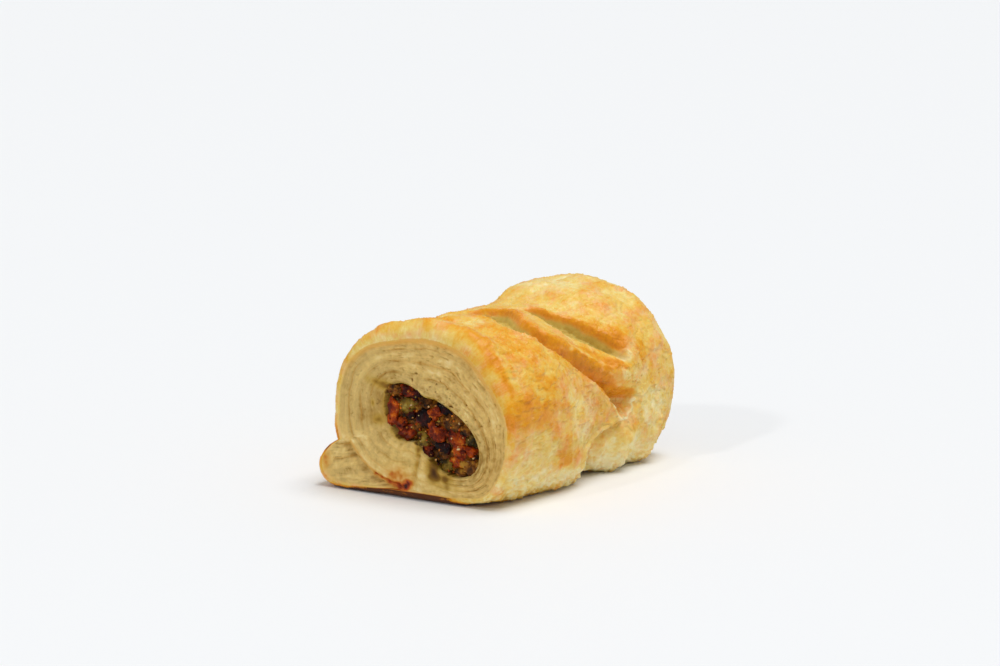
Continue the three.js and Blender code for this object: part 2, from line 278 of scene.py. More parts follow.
def bigRelief(deg, x):
    pastDent = x - (rimDent["x"] + 0.15 * bend(deg - 70, 6))
    rise = -rimDent["depth"] * skewHump(pastDent, 2, 3.5) * plateau(40, 60, 88, 106, deg)
    rise += slashRelief(deg, x) + hollowRelief(deg, x)
    fold = x - foldAt(deg)
    rise += waist["lap"] * hump(fold, -2.5, 2.5) * plateau(158, 170, 235, 245, deg)
    foldDepth = waist["depth"] * (0.24 + 0.76 * step(187, 203, deg))
    rise -= foldDepth * skewHump(fold, 0.55, waist["across"]) * plateau(164, 176, 235, 250, deg)
    rise -= sag["depth"] * hump(x, sag["x"], sag["length"]) * plateau(38, 52, 68, 84, deg)
    rise -= lateStart["depth"] * hump(x, lateStart["x"], lateStart["length"]) * plateau(30, 42, 58, 68, deg)
    rise += rearCheek["height"] * step(22, 30, x) * plateau(118, 132, 160, 178, deg)
    ripple = np.cos(2 * np.pi * (x - pucker["x"] + 0.05 * (deg - 210)) / pucker["pitch"])
    rise += pucker["height"] * ripple * plateau(6, 10, 32, 36, x) * plateau(190, 202, 224, 238, deg)
    wobble = np.sin(0.31 * x + 0.035 * deg + 1) * np.sin(0.045 * deg - 0.12 * x)
    rise = (rise + 0.25 * wobble) * (1 - plateau(236, 250, 300, 330, deg))
    low = plateau(222, 230, 246, 260, deg)
    return rise - lifted["depth"] * hump(x, lifted["x"], lifted["length"]) * low


fillingShape = {
    "y": 0.75,
    "z": 18.75,
    "radius": 9.2,
    "lobes": ((1, 2.45, -127), (2, 4.1, 27), (3, 1.1, -25), (4, 0.95, 39)),
}


def fillingOutline(angle, drawnIn):
    radius = fillingShape["radius"] - drawnIn
    for count, size, at in fillingShape["lobes"]:
        radius = radius + size * np.cos(count * (angle - math.radians(at)))
    return fillingShape["y"] + radius * np.cos(angle), fillingShape["z"] + radius * np.sin(angle)


def rimAt(deg):
    thin = roll["rimThin"]
    over = (roll["rimTop"] - thin) * plateau(20, 70, 138, 178, deg)
    return thin + over + (roll["rimUnder"] - thin) * plateau(222, 238, 324, 342, deg)


# mesh fineness, how high each kind of fine relief stands in millimetres, and the rim's browning
pastryLook = {
    "around": 640, "rowsToSlash": 84, "rowsOnStrap": 60, "rowsUnder": (-7, 6.8), "rimSteps": 7,
    "faceSteps": 84, "channelSteps": 3, "swell": 0.4, "blister": 0.2, "pimple": 0.08, "streak": 0.22,
    "crumble": 0.75, "leaf": 0.14, "tornCurl": 0.11, "bareSheet": -0.3, "looseSheet": 0.26,
    # the rim's paleness is partly a painted highlight, and its scorch is partly painted contact shadow
    "tornEdge": 0.4, "terrace": 0.42, "terracePitch": 1.15, "lip": 0.5, "lipWidth": 0.45, "rimPaleAndHighlight": 0.26,
    "rimScorchAndShade": 0.8,
}

# the crust's grains: size of the humps in millimetres (one for each axis where they differ), the seed and
# the octaves of the noise
crustGrains = {
    "bubbly": (12, 21, 1),
    "swell": (9, 11, 1),
    "blister": (3.6, 31, 2),
    "pimple": (1.4, 41, 2),
    "streak": ((1.4, 9, 1), 51, 2),
    "crumble": (2.2, 55, 3),
    "leaf": ((8, 5, 5), 81, 4),
    "ragged": (5, 301, 4),
    "mottled": (2.2, 311, 1),
    "uneven": (5, 321, 1),
}

leafEdges = (-0.6, -0.2, 0.15, 0.55)  # where in the leaf grain one more leaf has come off

arcPerDegree = 0.4  # millimetres of skin, about, for one degree round the roll


def sectionDegrees(count):
    # closer together at the notch over the flap and on the folded side
    fine = np.arange(1440) / 4
    density = 1 + hump(fine, 346, 13) + 0.45 * hump(fine, 175, 32)
    sums = np.concatenate([[0], np.cumsum(density)])
    return np.interp(np.arange(count) / count * sums[-1], sums, np.arange(1441) / 4)


def rowLines(deg, rim):
    # x of each skin row at each angle; rows run along the slashes and crowd together there
    toSlash, onStrap = pastryLook["rowsToSlash"], pastryLook["rowsOnStrap"]
    restOne, restTwo = pastryLook["rowsUnder"]
    one = restOne + (foldAt(deg) - restOne) * plateau(50, 75, 250, 330, deg)
    two = restTwo + (slashTwoAt(np.minimum(deg, 165)) - restTwo) * plateau(60, 85, 250, 330, deg)
    front, back = roll["frontX"], roll["backX"]
    t = (np.arange(toSlash + 1) / toSlash)[:, None]
    before = front + rim + (one - front - rim) * t * (1.5 - 0.5 * t)
    s = (np.arange(1, onStrap) / onStrap)[:, None]
    between = one + (two - one) * (s - 0.06 * np.sin(2 * np.pi * s))
    after = (back - rim - (back - rim - two) * t * (1.5 - 0.5 * t))[::-1]
    return np.concatenate([before, between, after])


def slashParts(deg, x):
    # each slash: how far past its bottom, how wide its open part is, and how strongly it is there
    one = (x - slashOneAt(deg), openOneAt(deg), plateau(68, 80, 134, 148, deg))
    two = (x - slashTwoAt(deg), openTwoAt(deg), plateau(92, 106, 150, 163, deg))
    return one, two


def crustGrain(kind, deg, x, y, z):
    # one grain of the crust, from about -1 to 1; streaks run down the side
    size, seed, octaves = crustGrains[kind]
    if kind == "streak":
        return layeredNoise(x, deg * arcPerDegree, 0 * x, size, seed, octaves)
    return layeredNoise(x, y, z, size, seed, octaves)


def leavesLeft(deg, x, y, z):
    # how many papery leaves of the top skin are left on at each point, and where a torn edge curls up (1)
    # with a groove beside it (-0.8)
    field = crustGrain("leaf", deg, x, y, z)
    level, torn = 0, 0
    for edge in leafEdges:
        level = level + step(edge - 0.03, edge + 0.03, field)
        torn = torn + hump(field, edge + 0.035, 0.03) - 0.8 * hump(field, edge - 0.035, 0.03)
    return level, torn


# places where the top leaves came off in one sheet: x, angle, length along the roll, degrees round it
bareSheets = ((-26.5, 196, 9.5, 15), (24, 188, 5, 10), (-24, 262, 6, 6), (-8, 20, 9, 12), (18, 40, 8, 9))

# leaves that lie on top of the skin with a thin free edge
looseSheets = ((-26.6, 128.5, 4.4, 8), (-20.5, 146, 3.6, 7), (-12, 128, 4, 8), (22, 122, 6, 9),
               (26, 150, 4.5, 8), (-28, 60, 5, 9), (4, 50, 6, 8), (28, 96, 4, 9))

# pale torn lips round the low end of the hollow: x and angle of points along them
hollowLip = ((8.6, 178), (9.4, 182), (9.8, 186), (10.8, 190), (12.8, 191.5), (14.6, 190),
             (16.2, 186), (17, 181))


def sheetCover(sheets, deg, x, y, z):
    ragged = 0.22 * layeredNoise(x, y, z, 3, 91, 3)
    cover = 0
    for px, pdeg, length, width in sheets:
        out = np.hypot((x - px) / length, (deg - pdeg) / width) + ragged
        cover = np.maximum(cover, 1 - step(0.96, 1.04, out))
    return cover


def lipDistance(deg, x, y, z):
    jagged = 0.5 * noise(x, y, z, 1.6, 95)
    route = [(px, pdeg * arcPerDegree) for px, pdeg in hollowLip]
    return lineDistance(x + jagged, deg * arcPerDegree + jagged, route)


def openSlash(deg, x, y, z):
    # for each slash, 1 where it lies open behind a ragged front edge, and how far past its bottom each of
    # its wavy layers runs
    ragged = 0.5 * layeredNoise(x, y, z, 2.6, 61, 2)
    openParts = []
    for past, wide, there in slashParts(deg, x):
        afterEdge = step(-wide - 0.18, -wide + 0.18, past + ragged)
        beforeWall = 1 - step(0.55, 1.15, past + 0.4 * ragged)
        wavy = past + 0.35 * noise(x, y, z, 4, 71)
        openParts.append((afterEdge * beforeWall * there, wavy))
    return openParts


def fineRelief(deg, x, y, z):
    look = pastryLook
    place = (deg, x, y, z)
    bubbly = 0.45 + 0.55 * step(-0.3, 0.5, crustGrain("bubbly", *place))
    rise = look["swell"] * crustGrain("swell", *place)
    for kind in ("blister", "pimple"):
        rise += look[kind] * bubbly * crustGrain(kind, *place)
    left, torn = leavesLeft(*place)
    rise += look["leaf"] * (left - 2) + look["tornCurl"] * torn
    rise += look["bareSheet"] * sheetCover(bareSheets, *place)
    rise += look["looseSheet"] * sheetCover(looseSheets, *place)
    side = plateau(166, 188, 232, 246, deg)
    rise += look["streak"] * side * crustGrain("streak", *place)
    lowEdge = plateau(201, 208, 226, 236, deg)
    rise += look["crumble"] * lowEdge * (np.abs(crustGrain("crumble", *place)) - 0.3)
    for inside, past in openSlash(*place):
        ledge = past / look["terracePitch"] - np.floor(past / look["terracePitch"])
        low = 1 - step(-0.2, 0.6, past)
        rise -= look["tornEdge"] * inside * low
        rise += look["terrace"] * (ledge - 0.5) * (1 - step(0.86, 1, ledge)) * inside * low
    rise += look["lip"] * hump(lipDistance(*place), 0, look["lipWidth"])
    return rise * (1 - plateau(236, 248, 300, 330, deg))


def pastrySkin(deg, x, drawnIn):
    angle = np.radians(deg)
    base = plainRadius(angle, x) + bigRelief(deg, x)
    y0 = base * np.cos(angle)
    z0 = roll["axisHeight"] + base * np.sin(angle)
    edge = plateau(roll["frontX"], roll["frontX"] + 2.5, roll["backX"] - 2.5, roll["backX"], x)
    radius = base + fineRelief(deg, x, y0, z0) * (0.35 + 0.65 * edge)
    radius = np.minimum(radius, reachToTable(np.sin(angle))) - drawnIn
    z = roll["axisHeight"] + radius * np.sin(angle)
    return np.stack([x, radius * np.cos(angle), np.where(z < 0.08, 0, z)], -1)


creaseRing = 0.36  # how far in from the rim the ring lies that follows the crease, where rings are even


def creaseRadius(deg):
    # the crease's distance from the roll's axis; it comes out towards the flap's notch
    return 22 - 0.107 * (343 - deg)


# the cut face, in millimetres: heights of its relief, routes of (y, z) points along what crosses it, and
# spots of (y, z, half width, half height, strength)
cutFace = {
    "lip": -0.6, "crease": -1, "creaseWidth": 1, "turnGroove": -0.2, "streaky": 0.14, "gap": -0.16,
    "bubbles": -0.3, "atFilling": -0.5, "pinched": -0.5, "caughtGroove": -0.4, "layersThick": 12,
    "turnThick": 3, "ringRadius": 20, "pinch": ((1, 10.3), (1.8, 7), (2.9, 3.4)),
    "caughtJuice": ((13.4, 4.7), (10.6, 3.6), (7.9, 2.9), (5.5, 2.5), (4.2, 3.5)),
    "tailStain": ((14.6, 26.3), (12.1, 25.5), (9.5, 25.2)),
    "soaked": ((-2.6, 7.6, 1.5, 2.8, 0.85), (-5.4, 5.8, 2.6, 1.6, 0.72), (1.3, 11.8, 1, 1.5, 0.6),
               (1.8, 7, 0.8, 2.6, 0.4), (-7.2, 3.8, 2.8, 1, 0.3)),
    "corner": ((11.6, 17.4, 2, 1.3, 0.55), (13.4, 21.1, 0.45, 0.8, 0.6)),
    "underFilling": ((4, 10, 6, 4, 0.1),), "glow": ((7, 5.2, 3.5, 1.9, 0.52),),
    "scorch": ((-5, 0.9, 4.2, 0.9, 0.75), (26.6, 6.6, 1.3, 2.6, 0.42)),
    "pillow": ((-0.1, 6.4, 1.5, 3.2, 1),),
    # painted highlights: spots lighter than the layers round them
    "paintedHighlight": ((8.4, 12, 2.6, 1.2, 1), (4.4, 10.6, 1.6, 1, 1)),
}
# how light the cut layers are, and what each thing on them adds. Gap, bubbles, crease and pinch are
# painted shade in their grooves and pits, nearFilling is partly the moist dough's greyer colour and partly
# painted shade beside the sunken filling, and shine adds painted highlights
faceTone = {
    "plain": 0.63, "broad": 0.08, "crumbly": 0.15, "fine": 0.13, "soft": 0.09, "fluffy": 0.05,
    "bands": -0.07, "turnEdge": -0.06, "gap": -0.24, "bubbles": -0.35, "crease": -0.1,
    "nearFilling": -0.2, "alongCrease": 0.04, "flap": -0.14, "leftSide": -0.13, "rightSide": -0.1,
    "outerTurns": -0.06, "pinch": -0.24, "pillow": 0.14, "paintedHighlight": 0.2,
}


def spots(y, z, name):
    total = 0
    for centreY, centreZ, halfY, halfZ, strength in cutFace[name]:
        total = total + strength * hump(np.hypot((y - centreY) / halfY, (z - centreZ) / halfZ), 0, 1)
    return total


def faceNoise(y, z, size, seed, more, octaves=1):
    return layeredNoise(0 * y + seed, y, z, size, seed + more, octaves)


def juiceStains(y, z, seed):
    # where the filling's juice soaked into the layers (front cut)
    tail = hump(lineDistance(y, z, cutFace["tailStain"]), 0, 1) * (0.4 + 0.4 * step(14, 9.5, y))
    strongest = np.maximum(np.maximum(spots(y, z, "soaked"), tail), spots(y, z, "corner"))
    return clamp01(strongest * (0.85 + 0.4 * faceNoise(y, z, 1.6, seed, 11)))


def caughtStains(y, z, seed):
    # sugars that ran out and browned: an orange glow above a dark red-brown streak
    width = 0.6 + 0.7 * step(12, 6, y)
    streak = hump(lineDistance(y, z, cutFace["caughtJuice"]) / width, 0, 1) * (0.75 + 0.25 * step(9, 5, y))
    strongest = np.maximum(np.maximum(streak, spots(y, z, "glow")), spots(y, z, "scorch"))
    return clamp01(strongest * (0.9 + 0.4 * faceNoise(y, z, 0.9, seed, 12)))


def faceRings(deg, rim):
    # rings of the cut face from the rim (inward 0) to the filling (inward 1); one of them follows the
    # crease between the round part and the flap
    fy, fz = fillingOutline(np.radians(deg), 0)
    outer = np.hypot(rim[:, 1], rim[:, 2] - roll["axisHeight"])
    inner = np.hypot(fy, fz - roll["axisHeight"])
    onCrease = np.maximum(clamp01((outer - creaseRadius(deg)) / (outer - inner)), 0.16)
    led = plateau(262, 290, 343, 359, deg)
    even = (np.arange(1, pastryLook["faceSteps"] + 1) / pastryLook["faceSteps"])[:, None]
    follow = creaseRing + (onCrease - creaseRing) * led
    inward = np.where(even < creaseRing, even * follow / creaseRing,
                      follow + (even - creaseRing) * (1 - follow) / (1 - creaseRing))
    y = rim[:, 1] * (1 - inward) + fy * inward
    z = rim[:, 2] * (1 - inward) + fz * inward
    return outer, inner, led, inward, y, z


def pastryFace(deg, rim, end):
    face = cutFace
    outer, inner, led, inward, y, z = faceRings(deg, rim)
    # the wound layers follow the round part's outline, the flap's own layers run along it
    angle = np.radians(deg)
    reach = np.hypot(y, z - roll["axisHeight"])
    edge = outer + (creaseRadius(deg) - outer) * plateau(268, 284, 341, 347, deg)
    wound = (edge - reach) / (edge - inner)
    inRound = wound >= 0
    tilt = math.radians(flapShape["tilt"])
    fromY, fromZ = y - flapShape["y"], z - flapShape["z"]
    flapDepth = 40 + fromZ * math.cos(tilt) - fromY * math.sin(tilt)
    depth = np.where(inRound, wound * face["layersThick"], flapDepth)
    flapRun = fromY * math.cos(tilt) + fromZ * math.sin(tilt)
    ringY = np.where(inRound, face["ringRadius"] * np.cos(angle), flapRun)
    ringZ = np.where(inRound, face["ringRadius"] * np.sin(angle), 0)
    seed = 100 if end < 0 else 200
    fromCrease = reach - creaseRadius(deg)
    creaseThere = plateau(288, 296, 341, 346, deg)

    # the sheet's turns, the streaky run of its leaves, and short gaps where leaves parted, darkened with
    # painted shade
    patchy = step(-0.5, 0.4, noise(depth, ringY, ringZ, (2.2, 6, 6), seed + 3))
    depth = depth + 0.5 * layeredNoise(depth, ringY, ringZ, (5, 8, 8), seed, 2)
    along = (depth, ringY, ringZ)
    inside = plateau(0.03, 0.09, 0.95, 1, inward)
    upperRight = plateau(35, 70, 225, 255, deg)
    turn = depth / face["turnThick"] + deg / 360
    turnEdge = hump(turn - np.round(turn), 0, 0.06) * plateau(0.12, 0.2, 0.85, 0.93, inward) * patchy
    broad = layeredNoise(*along, (1.8, 7, 7), seed + 4, 2)
    leafy = 0.22 + 0.78 * np.maximum(upperRight, 1 - inRound)
    fine = layeredNoise(*along, (0.5, 3.6, 3.6), seed + 7, 2) * (0.5 + 0.5 * patchy) * leafy
    crisp = 0.15 + 0.85 * upperRight * (1 - step(0.5, 0.8, inward)) + 0.7 * (1 - inRound)
    parted = step(0.4, 0.62, noise(*along, (0.32, 3, 3), seed + 8))
    gap = parted * crisp * plateau(0.05, 0.1, 0.86, 0.95, inward)
    crumbly = faceNoise(y, z, 1.1, seed, 5, 3)
    fluffy = plateau(48, 75, 175, 205, deg) * plateau(0.5, 0.68, 0.93, 1, inward)
    bubbles = step(0.52, 0.68, faceNoise(y, z, (1, 0.8, 0.6), seed, 9)) * (0.3 + 0.7 * fluffy) * inside
    outerTurns = upperRight * (1 - step(0.45, 0.8, inward)) * inRound
    leftSide = plateau(-10, -1, 40, 75, deg) + step(342, 352, deg)
    smooth = 1 - 0.55 * leftSide * inRound

    rise = face["lip"] * step(0.03, 0.12, inward) * plateau(10, 55, 140, 175, deg)
    rise += face["crease"] * hump(fromCrease, 0, face["creaseWidth"]) * creaseThere
    rise += face["turnGroove"] * turnEdge + face["streaky"] * (broad + 0.6 * fine) * inside
    rise += (0.08 + 0.12 * fluffy) * crumbly * inside
    rise += face["gap"] * gap + face["bubbles"] * bubbles + face["atFilling"] * hump(inward, 1, 0.05)
    underRim = plateau(0, 0.02, 0.06, 0.15, inward) * plateau(15, 40, 150, 180, deg)
    overCrease = hump(fromCrease, -0.9, 0.6) * creaseThere
    warm = 0.5 * underRim + 0.3 * turnEdge + 0.6 * overCrease + 0.16 * outerTurns
    # gap, bubbles, crease and pinch darken grooves and pits as painted shade; nearFilling adds painted
    # shade by the sunken filling on top of the moist dough's greyer colour
    shown = {
        "broad": broad * smooth, "crumbly": crumbly * smooth, "fine": fine, "fluffy": fluffy,
        "soft": faceNoise(y, z, 6, seed, 6, 2), "turnEdge": turnEdge, "gap": gap, "bubbles": bubbles,
        "bands": np.cos(2 * np.pi * turn) * plateau(0.12, 0.25, 0.7, 0.9, inward),
        "crease": hump(fromCrease, 0.2, 0.7) * creaseThere, "alongCrease": led, "flap": 1 - inRound,
        "nearFilling": step(0.35, 0.85, inward) * inRound, "leftSide": leftSide,
        "rightSide": plateau(165, 185, 214, 230, deg), "outerTurns": outerTurns,
    }
    edgeJuice = step(-0.5, 0.4, faceNoise(y, z, 2, seed, 10)) * (0.75 + 0.5 * crumbly)
    juice = 0.8 * hump(inward, 1, 0.035) * edgeJuice + spots(y, z, "underFilling")
    # the face's bottom edge by the tray is dark like a caught stain: partly scorching, partly painted
    # contact shadow
    caught = 0.85 * (1 - step(0.005, 0.02, inward)) * plateau(244, 256, 306, 320, deg)
    if end < 0:
        # the pillow, and the spots of painted highlight
        for name in ("pillow", "paintedHighlight"):
            shown[name] = spots(y, z, name)
        shown["pinch"] = hump(lineDistance(y, z, face["pinch"]), 0, 0.5)
        rise += face["pinched"] * shown["pinch"] + shown["pillow"]
        rise += face["caughtGroove"] * hump(lineDistance(y, z, face["caughtJuice"]), 0, 0.5)
        caught = np.maximum(caught, caughtStains(y, z, seed))
        juice = np.maximum(juice, juiceStains(y, z, seed))
    tone = faceTone["plain"] + sum(faceTone[name] * amount for name, amount in shown.items())
    return {
        "points": np.stack([cutX(end) + end * rise, y, np.maximum(z, 0)], -1), "bake": 0.3 + 0 * inward,
        "cutLayers": step(0.02, 0.07, inward), "tone": clamp01(tone), "doughy": 0 * inward,
        "warm": clamp01(warm), "caught": caught, "juice": clamp01(juice), "leafPlace": np.stack(along, -1),
    }


def gridFaces(rows, columns, closedRows):
    index = np.arange(rows * columns).reshape(rows, columns)
    nextRow = np.roll(index, -1, 0)
    if not closedRows:
        index, nextRow = index[:-1], nextRow[:-1]
    return np.stack([index, np.roll(index, -1, 1), np.roll(nextRow, -1, 1), nextRow], -1).reshape(-1, 4)


def placeObject(name, data):
    placed = bpy.data.objects.new(name, data)
    bpy.context.scene.collection.objects.link(placed)
    return placed


def meshFrom(name, points, *faceSets):
    mesh = bpy.data.meshes.new(name)
    mesh.vertices.add(len(points))
    placed = (points + np.array(roll["shift"])) * mm
    mesh.vertices.foreach_set("co", placed.astype(np.float32).ravel())
    corners = np.concatenate([faces.ravel() for faces in faceSets])
    sides = np.concatenate([np.full(len(faces), faces.shape[1]) for faces in faceSets])
    mesh.loops.add(len(corners))
    mesh.loops.foreach_set("vertex_index", corners.astype(np.int32))
    mesh.polygons.add(len(sides))
    mesh.polygons.foreach_set("loop_start", (np.cumsum(sides) - sides).astype(np.int32))
    mesh.update(calc_edges=True)
    mesh.validate()
    mesh.shade_smooth()
    return placeObject(name, mesh)


def keepValues(piece, values):
    for name, numbers in values.items():
        isPlace = numbers.shape[-1] == 3
        layer = piece.data.attributes.new(name, "FLOAT_VECTOR" if isPlace else "FLOAT", "POINT")
        layer.data.foreach_set("vector" if isPlace else "value", numbers.astype(np.float32).ravel())


# where the oven browned the skin, and where it stayed pale: x, angle, length along the roll, degrees
# round it, how far x moves back for each degree, strength
# a few brown patches are painted shade: the waist at x 4.5, the hollow under the strap's end at x 14, and
# partly the strap's flank at x -0.6
brownAndShadePatches = (
    (-31.6, 111, 2.6, 13, 0, 0.10), (-20.5, 124, 5.5, 14, -0.1, 0.10), (-32.6, 144, 1.3, 24, 0, 0.2),
    (-26.5, 171, 9, 9.5, 0.1, 0.17), (-13.6, 200, 2.8, 8, 0.1, 0.22), (-20.5, 158, 4.5, 6, 0.2, 0.08),
    (-0.6, 153, 3.4, 11, 0.6, 0.5), (-7.5, 138, 2.6, 7, 0.5, 0.28), (6.6, 171, 3.2, 7, 0.7, 0.36),
    (14, 177.5, 4.4, 3.8, 0.2, 0.3), (13.3, 185.5, 3.6, 4.6, 0, 0.12), (20.8, 156, 2, 8, 0, 0.12),
    (12.6, 146, 2, 8, 0.25, 0.16), (10, 163, 4.5, 8, 0.3, 0.1), (4, 163, 2.8, 7, 0.6, 0.34),
    (14, 96, 4, 9, 0, 0.08), (4.5, 151, 2.6, 11, 0.6, 0.2), (26, 112, 5, 7, 0, 0.07),
    (17, 196, 2, 4, 0, 0.1), (4.5, 209, 3.4, 9, 0, 0.1), (12.3, 138, 2.6, 9, 0.2, 0.22),
    (-28, 40, 4, 10, 0, 0.16), (-14, 12, 7, 9, 0.1, 0.18), (22, 24, 8, 12, 0, 0.15),
)
palePatches = (
    (18.8, 178, 1.8, 5, 0.2, 0.16), (-1.8, 212, 1.6, 10, 0, 0.14), (-15, 76, 6, 10, 0, 0.26),
    (-22.5, 100, 4, 9, 0, 0.14), (-26.5, 196, 9.5, 15, 0, 0.08), (-17, 211, 14, 7, 0, 0.2),
    (-6.5, 182, 4.5, 16, 0.2, 0.16), (11.6, 166, 1.8, 3.4, 0.4, 0.2), (13.6, 155.5, 2.2, 4.2, 0.2, 0.26),
    (24.5, 187, 4.5, 12, 0, 0.12), (-16, 151, 8, 5, 0.2, 0.08), (12, 210, 20, 10, 0, 0.14),
    (23, 88, 10, 20, 0, 0.12), (6, 20, 8, 12, 0, 0.12),
)


# how brown the skin is all over, and what its place and its relief add to that
browned = {
    "plain": 0.36, "front": 0.1, "right": 0.03, "low": -0.1, "flapSide": -0.1, "leaf": 0.05,
    "torn": -0.1, "blister": 0.1, "pimple": 0.09, "bareSheet": -0.07, "streak": 0.05, "slashWall": 0.32,
    "flapTip": 0.3, "lip": -0.34, "flakes": -0.2, "scorchedAndShaded": 0.65,
}


def browning(deg, x, y, z):
    # 0 is raw cream, 1 is burnt; only what stands proud and faces up browns much
    place = (deg, x, y, z)
    bake = browned["plain"]
    ragged = 0.34 * crustGrain("ragged", *place)
    mottled = 1 + 0.4 * crustGrain("mottled", *place)
    for patches, sign in ((brownAndShadePatches, 1), (palePatches, -1)):
        for px, pdeg, length, width, slant, strength in patches:
            along = (x - px - slant * (deg - pdeg)) / length
            out = np.hypot(along, (deg - pdeg) / width) + ragged
            bake = bake + sign * strength * (1 - step(0.6, 1.2, out)) * mottled
    left, torn = leavesLeft(*place)
    walls = sum(hump(past, 1.4, 1) * there for past, _, there in slashParts(deg, x))
    shares = {
        "front": step(4, -12, x), "right": step(120, 165, deg), "low": step(178, 212, deg),
        "flapSide": 1 - step(0, 40, deg), "leaf": left - 2, "torn": torn,
        "blister": crustGrain("blister", *place), "pimple": crustGrain("pimple", *place),
        "bareSheet": sheetCover(bareSheets, *place),
        "streak": plateau(166, 188, 232, 246, deg) * crustGrain("streak", *place),
        "slashWall": walls * (0.75 + 0.5 * crustGrain("uneven", *place)),
    }
    bake = bake + sum(browned[name] * share for name, share in shares.items())
    bake = softMin(bake, 0.66 + 0.25 * (bake - 0.66), 0.06)
    flaky = step(0.12, 0.5, np.abs(crustGrain("crumble", *place)))
    shares = {
        "flapTip": plateau(334, 342, 350, 356, deg) * (0.5 + 0.5 * (1 - step(-33, -20, x))),
        "lip": hump(lipDistance(*place), 0, 0.34),
        "flakes": flaky * plateau(206, 214, 230, 240, deg),
        # darker brown low down by the tray: partly the scorched underside, partly painted contact shadow
        "scorchedAndShaded": (1 - step(0.4, 1.3, z)) * plateau(222, 234, 322, 338, deg),
    }
    return bake + sum(browned[name] * share for name, share in shares.items())


def buildPastry():
    look = pastryLook
    deg = sectionDegrees(look["around"])
    rim = rimAt(deg)
    turns = np.arange(look["rimSteps"]) / look["rimSteps"] * math.pi / 2
    rimIn = (1 - np.sin(turns))[:, None] * rim
    rimX = (1 - np.cos(turns))[:, None] * rim
    rows = rowLines(deg, rim)
    x = np.concatenate([roll["frontX"] + rimX, rows, (roll["backX"] - rimX)[::-1]])
    drawnIn = np.concatenate([rimIn, 0 * rows, rimIn[::-1]])
    degs = np.broadcast_to(deg, x.shape)
    skin = pastrySkin(degs, x, drawnIn)
    back = pastryFace(deg, skin[-1], 1)
    front = pastryFace(deg, skin[0], -1)
    fy, fz = fillingOutline(np.radians(deg), 0)
    t = (np.arange(1, look["channelSteps"]) / look["channelSteps"])[:, None]
    channelX = roll["backX"] + (roll["frontX"] - roll["backX"]) * t + 0 * deg
    channel = np.stack([channelX, fy + 0 * channelX, fz + 0 * channelX], -1)

    def stack(name, onSkin, inChannel):
        # the rows of the skin, the back face, the channel and the front face, one after another
        between = np.broadcast_to(inChannel, channelX.shape + back[name].shape[2:])
        joined = np.concatenate([onSkin, back[name], between, front[name][::-1]])[:, ::-1]
        return joined.reshape((-1,) + joined.shape[2:])

    points = stack("points", skin, channel)
    rowCount = len(points) // look["around"]
    pastry = meshFrom("pastryBaked", points, gridFaces(rowCount, look["around"], True))

    # the rim is paler over the cut, partly a painted highlight, and scorched where it meets the tray,
    # partly painted contact shadow
    place = (degs, skin[..., 0], skin[..., 1], skin[..., 2])
    onRim = drawnIn / np.maximum(rim, 0.1)
    bake = browning(*place) - look["rimPaleAndHighlight"] * onRim * plateau(25, 50, 100, 126, degs)
    bake = bake + look["rimScorchAndShade"] * onRim * plateau(240, 252, 310, 322, degs)
    openCut, wall = 0 * bake, 0 * bake
    cutPlace = skin.copy()
    for (inside, wavy), (past, _, there) in zip(openSlash(*place), slashParts(degs, skin[..., 0])):
        openCut = np.maximum(openCut, inside)
        wall = np.maximum(wall, plateau(0.5, 1.1, 1.4, 2.2, past) * there)
        cutPlace[..., 0] = np.where(inside > 0.3, wavy, cutPlace[..., 0])
    # each value on the skin and in the channel; the faces bring their own
    none = 0 * bake
    values = {
        "bake": (np.maximum(bake, 0.6 * wall), 0.3), "cutLayers": (openCut * (1 - wall), 1),
        "tone": (0.5 + 0.15 * noise(*place[1:], 2, 331), 0.3), "doughy": (openCut, 0), "warm": (none, 0),
        "caught": (none, 0), "juice": (none, 0), "leafPlace": (cutPlace, 0),
    }
    keepValues(pastry, {name: stack(name, *pair) for name, pair in values.items()})
    return pastry


def linear(hexColour):
    parts = [int(hexColour[k:k + 2], 16) / 255 for k in (1, 3, 5)]
    return tuple(c / 12.92 if c < 0.04045 else ((c + 0.055) / 1.055) ** 2.4 for c in parts) + (1,)


def newMaterial(name):
    material = bpy.data.materials.new(name)
    material.use_nodes = True
    material.node_tree.nodes.clear()
    return material


def addNode(material, kind, settings=None, inputs=None, stops=None):
    # kind is the node's type without ShaderNode; an input is a value, an output socket or a node, which
    # stands for its first output
    tree = material.node_tree
    node = tree.nodes.new("ShaderNode" + kind)
    for key, value in (settings or {}).items():
        setattr(node, key, value)
    for key, value in (inputs or {}).items():
        if isinstance(value, bpy.types.Node):
            value = value.outputs[0]
        if isinstance(value, bpy.types.NodeSocket):
            tree.links.new(value, node.inputs[key])
        else:
            node.inputs[key].default_value = value
    if stops:
        ramp = node.color_ramp.elements
        while len(ramp) < len(stops):
            ramp.new(0.5)
        for element, (at, colour) in zip(ramp, stops):
            element.position = at
            element.color = linear(colour)
    return node


